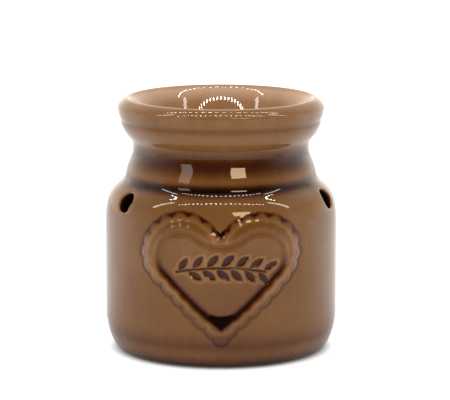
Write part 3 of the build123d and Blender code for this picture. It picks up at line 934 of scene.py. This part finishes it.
feed(tree, surface, {
    "Base Color": reckon(tree, "MULTIPLY_ADD", dimmed, -GLOSS_DIM, SHEET_WHITE),
    "Roughness": 0.9,
    "Specular IOR Level": 0.0,
    "Emission Color": (1, 1, 1, 1),
    "Emission Strength": reckon(tree, "MULTIPLY", lift, clear),
})
table_top = finish_piece(sheet_mesh, "table_top", white)

# World. A white tent to the sides, behind and above, brightest behind and low down and a little warm,
# with its dark opening in front, as a glossy surface sees it. Matte surfaces get an even white light,
# and the camera sees plain white. Each edge is given as its angle in radians and how soft it is.
ROOF = 0.2
WALLS, WALLS_TOP = 0.3, (0.85, 0.35)
LOW_WALLS, LOW_WALLS_TOP = 0.5, (0.25, 0.2)
BACK_WALL, BACK_WALL_TOP, BACK_WALL_SIDE = 0.7, (0.95, 0.3), (2.1, 0.5)
OPENING_DARK, OPENING_TOP, OPENING_SIDE = 0.98, (1.1, 0.1), (1.25, 0.45)
MATTE_LIGHT, MATTE_FROM_ABOVE = 0.78, 0.45
WARM_WHITE, PLAIN_WHITE = (1, 0.93, 0.82, 1), (1, 1, 1, 1)
world = bpy.data.worlds.new("tent")
bpy.context.scene.world = world
world.use_nodes = True
tree = world.node_tree
way = add_node(tree, "ShaderNodeTexCoord").outputs["Generated"]
parts = add_node(tree, "ShaderNodeSeparateXYZ", {"Vector": way}).outputs
turned = reckon(tree, "ARCTAN2", parts["X"], reckon(tree, "MULTIPLY", parts["Y"], -1.0))
across = reckon(tree, "ABSOLUTE", turned)
rise = reckon(tree, "ARCSINE", parts["Z"])


def up_to(tree, value, edge):
    # 1 below the edge's middle and 0 above it, with a soft edge
    middle, soft = edge
    return ranged(tree, value, middle - soft, middle + soft, 1.0, 0.0)


opening = reckon(tree, "MULTIPLY", up_to(tree, across, OPENING_SIDE), up_to(tree, rise, OPENING_TOP))
behind = reckon(tree, "MULTIPLY_ADD", up_to(tree, across, BACK_WALL_SIDE), -BACK_WALL, BACK_WALL)
tent = reckon(tree, "MULTIPLY_ADD", up_to(tree, rise, LOW_WALLS_TOP), LOW_WALLS, ROOF)
tent = reckon(tree, "MULTIPLY_ADD", up_to(tree, rise, BACK_WALL_TOP), behind, tent)
tent = reckon(tree, "MULTIPLY_ADD", up_to(tree, rise, WALLS_TOP), WALLS, tent)
seen = reckon(tree, "MULTIPLY", tent, reckon(tree, "MULTIPLY_ADD", opening, -OPENING_DARK, 1.0))
even_light = reckon(tree, "MULTIPLY_ADD", parts["Z"], MATTE_FROM_ABOVE, MATTE_LIGHT)
ray = add_node(tree, "ShaderNodeLightPath").outputs
by_gloss = blended(tree, ray["Is Glossy Ray"], even_light, seen, "FLOAT")
feed(tree, tree.nodes["Background"], {
    "Strength": blended(tree, ray["Is Camera Ray"], by_gloss, 1.0, "FLOAT"),
    "Color": blended(tree, ray["Is Glossy Ray"], PLAIN_WHITE, WARM_WHITE),
})

# Lamps. Two rows of small lamps across the roof of the tent, a strip light high on each side and two
# bright panes in the room in front, which show in the gloss alone.
LAMP_AIM = (0, 0, 0.05)
ROOF_LAMPS, ROOF_PITCH, ROOF_HEIGHT, ROOF_ROWS = 21, 0.0128, 0.255, ((0.0, -0.076), (0.5, 0.0))
ROOF_SIZE, ROOF_STRENGTH, ROOF_COLOUR = (0.0045, 0.007), 45.0, (1, 0.97, 0.9)
STRIP_ASIDE, STRIP_FORWARD, STRIP_HEIGHT = 0.2, -0.05, 0.25
STRIP_SIZE, STRIP_STRENGTH, STRIP_COLOUR = (0.016, 0.14), 10.0, (1, 0.94, 0.9)
PANE_AWAY = 1.1
PANES = (
    ("pane_right", 23, 34, (0.32, 0.23), 12.0, (1, 0.7, 0.42)),
    ("pane_left", -46, 25, (0.26, 0.34), 2.6, (1, 0.86, 0.8)),
)


def hang_lamp(name, place, size, strength, colour):
    # A flat lamp that faces the burner's middle. Its strength is its brightness, seen face on.
    light = bpy.data.lights.new(name, "AREA")
    light.shape = "RECTANGLE"
    light.size, light.size_y = size
    light.energy = strength * size[0] * size[1] * pi
    light.color = colour
    lamp = bpy.data.objects.new(name, light)
    bpy.context.scene.collection.objects.link(lamp)
    lamp.location = place
    aim = Vector(LAMP_AIM) - Vector(place)
    lamp.rotation_euler = aim.to_track_quat("-Z", "Y").to_euler()
    lamp.visible_camera = False
    lamp.visible_diffuse = False


for row, (shift, forward) in enumerate(ROOF_ROWS):
    for number in range(ROOF_LAMPS):
        place = ((number - ROOF_LAMPS // 2 + shift) * ROOF_PITCH, forward, ROOF_HEIGHT)
        hang_lamp(f"roof_lamp_{row}_{number:02d}", place, ROOF_SIZE, ROOF_STRENGTH, ROOF_COLOUR)
for side in (-1, 1):
    place = (STRIP_ASIDE * side, STRIP_FORWARD, STRIP_HEIGHT)
    hang_lamp(f"side_strip_{side + 1}", place, STRIP_SIZE, STRIP_STRENGTH, STRIP_COLOUR)
for name, bearing, lifted, size, strength, colour in PANES:
    out = PANE_AWAY * cos(radians(lifted))
    height = LAMP_AIM[2] + PANE_AWAY * sin(radians(lifted))
    place = (out * sin(radians(bearing)), -out * cos(radians(bearing)), height)
    hang_lamp(name, place, size, strength, colour)

# Camera. It stands 0.9 m in front of the burner's middle and looks down by 10 degrees. The place,
# the aim and the lens frame the burner as the photograph does.
CAMERA_PLACE, CAMERA_AIM, LENS = (0, -0.89044, 0.20731), (0.00135, 0, 0.05007), 214.2
camera = bpy.data.objects.new("camera", bpy.data.cameras.new("camera"))
bpy.context.scene.collection.objects.link(camera)
camera.location = CAMERA_PLACE
camera.rotation_euler = (Vector(CAMERA_AIM) - Vector(CAMERA_PLACE)).to_track_quat("-Z", "Y").to_euler()
camera.data.sensor_width = 36
camera.data.lens = LENS
camera.data.clip_start = 0.01
bpy.context.scene.camera = camera
bpy.context.scene.view_settings.view_transform = "Standard"
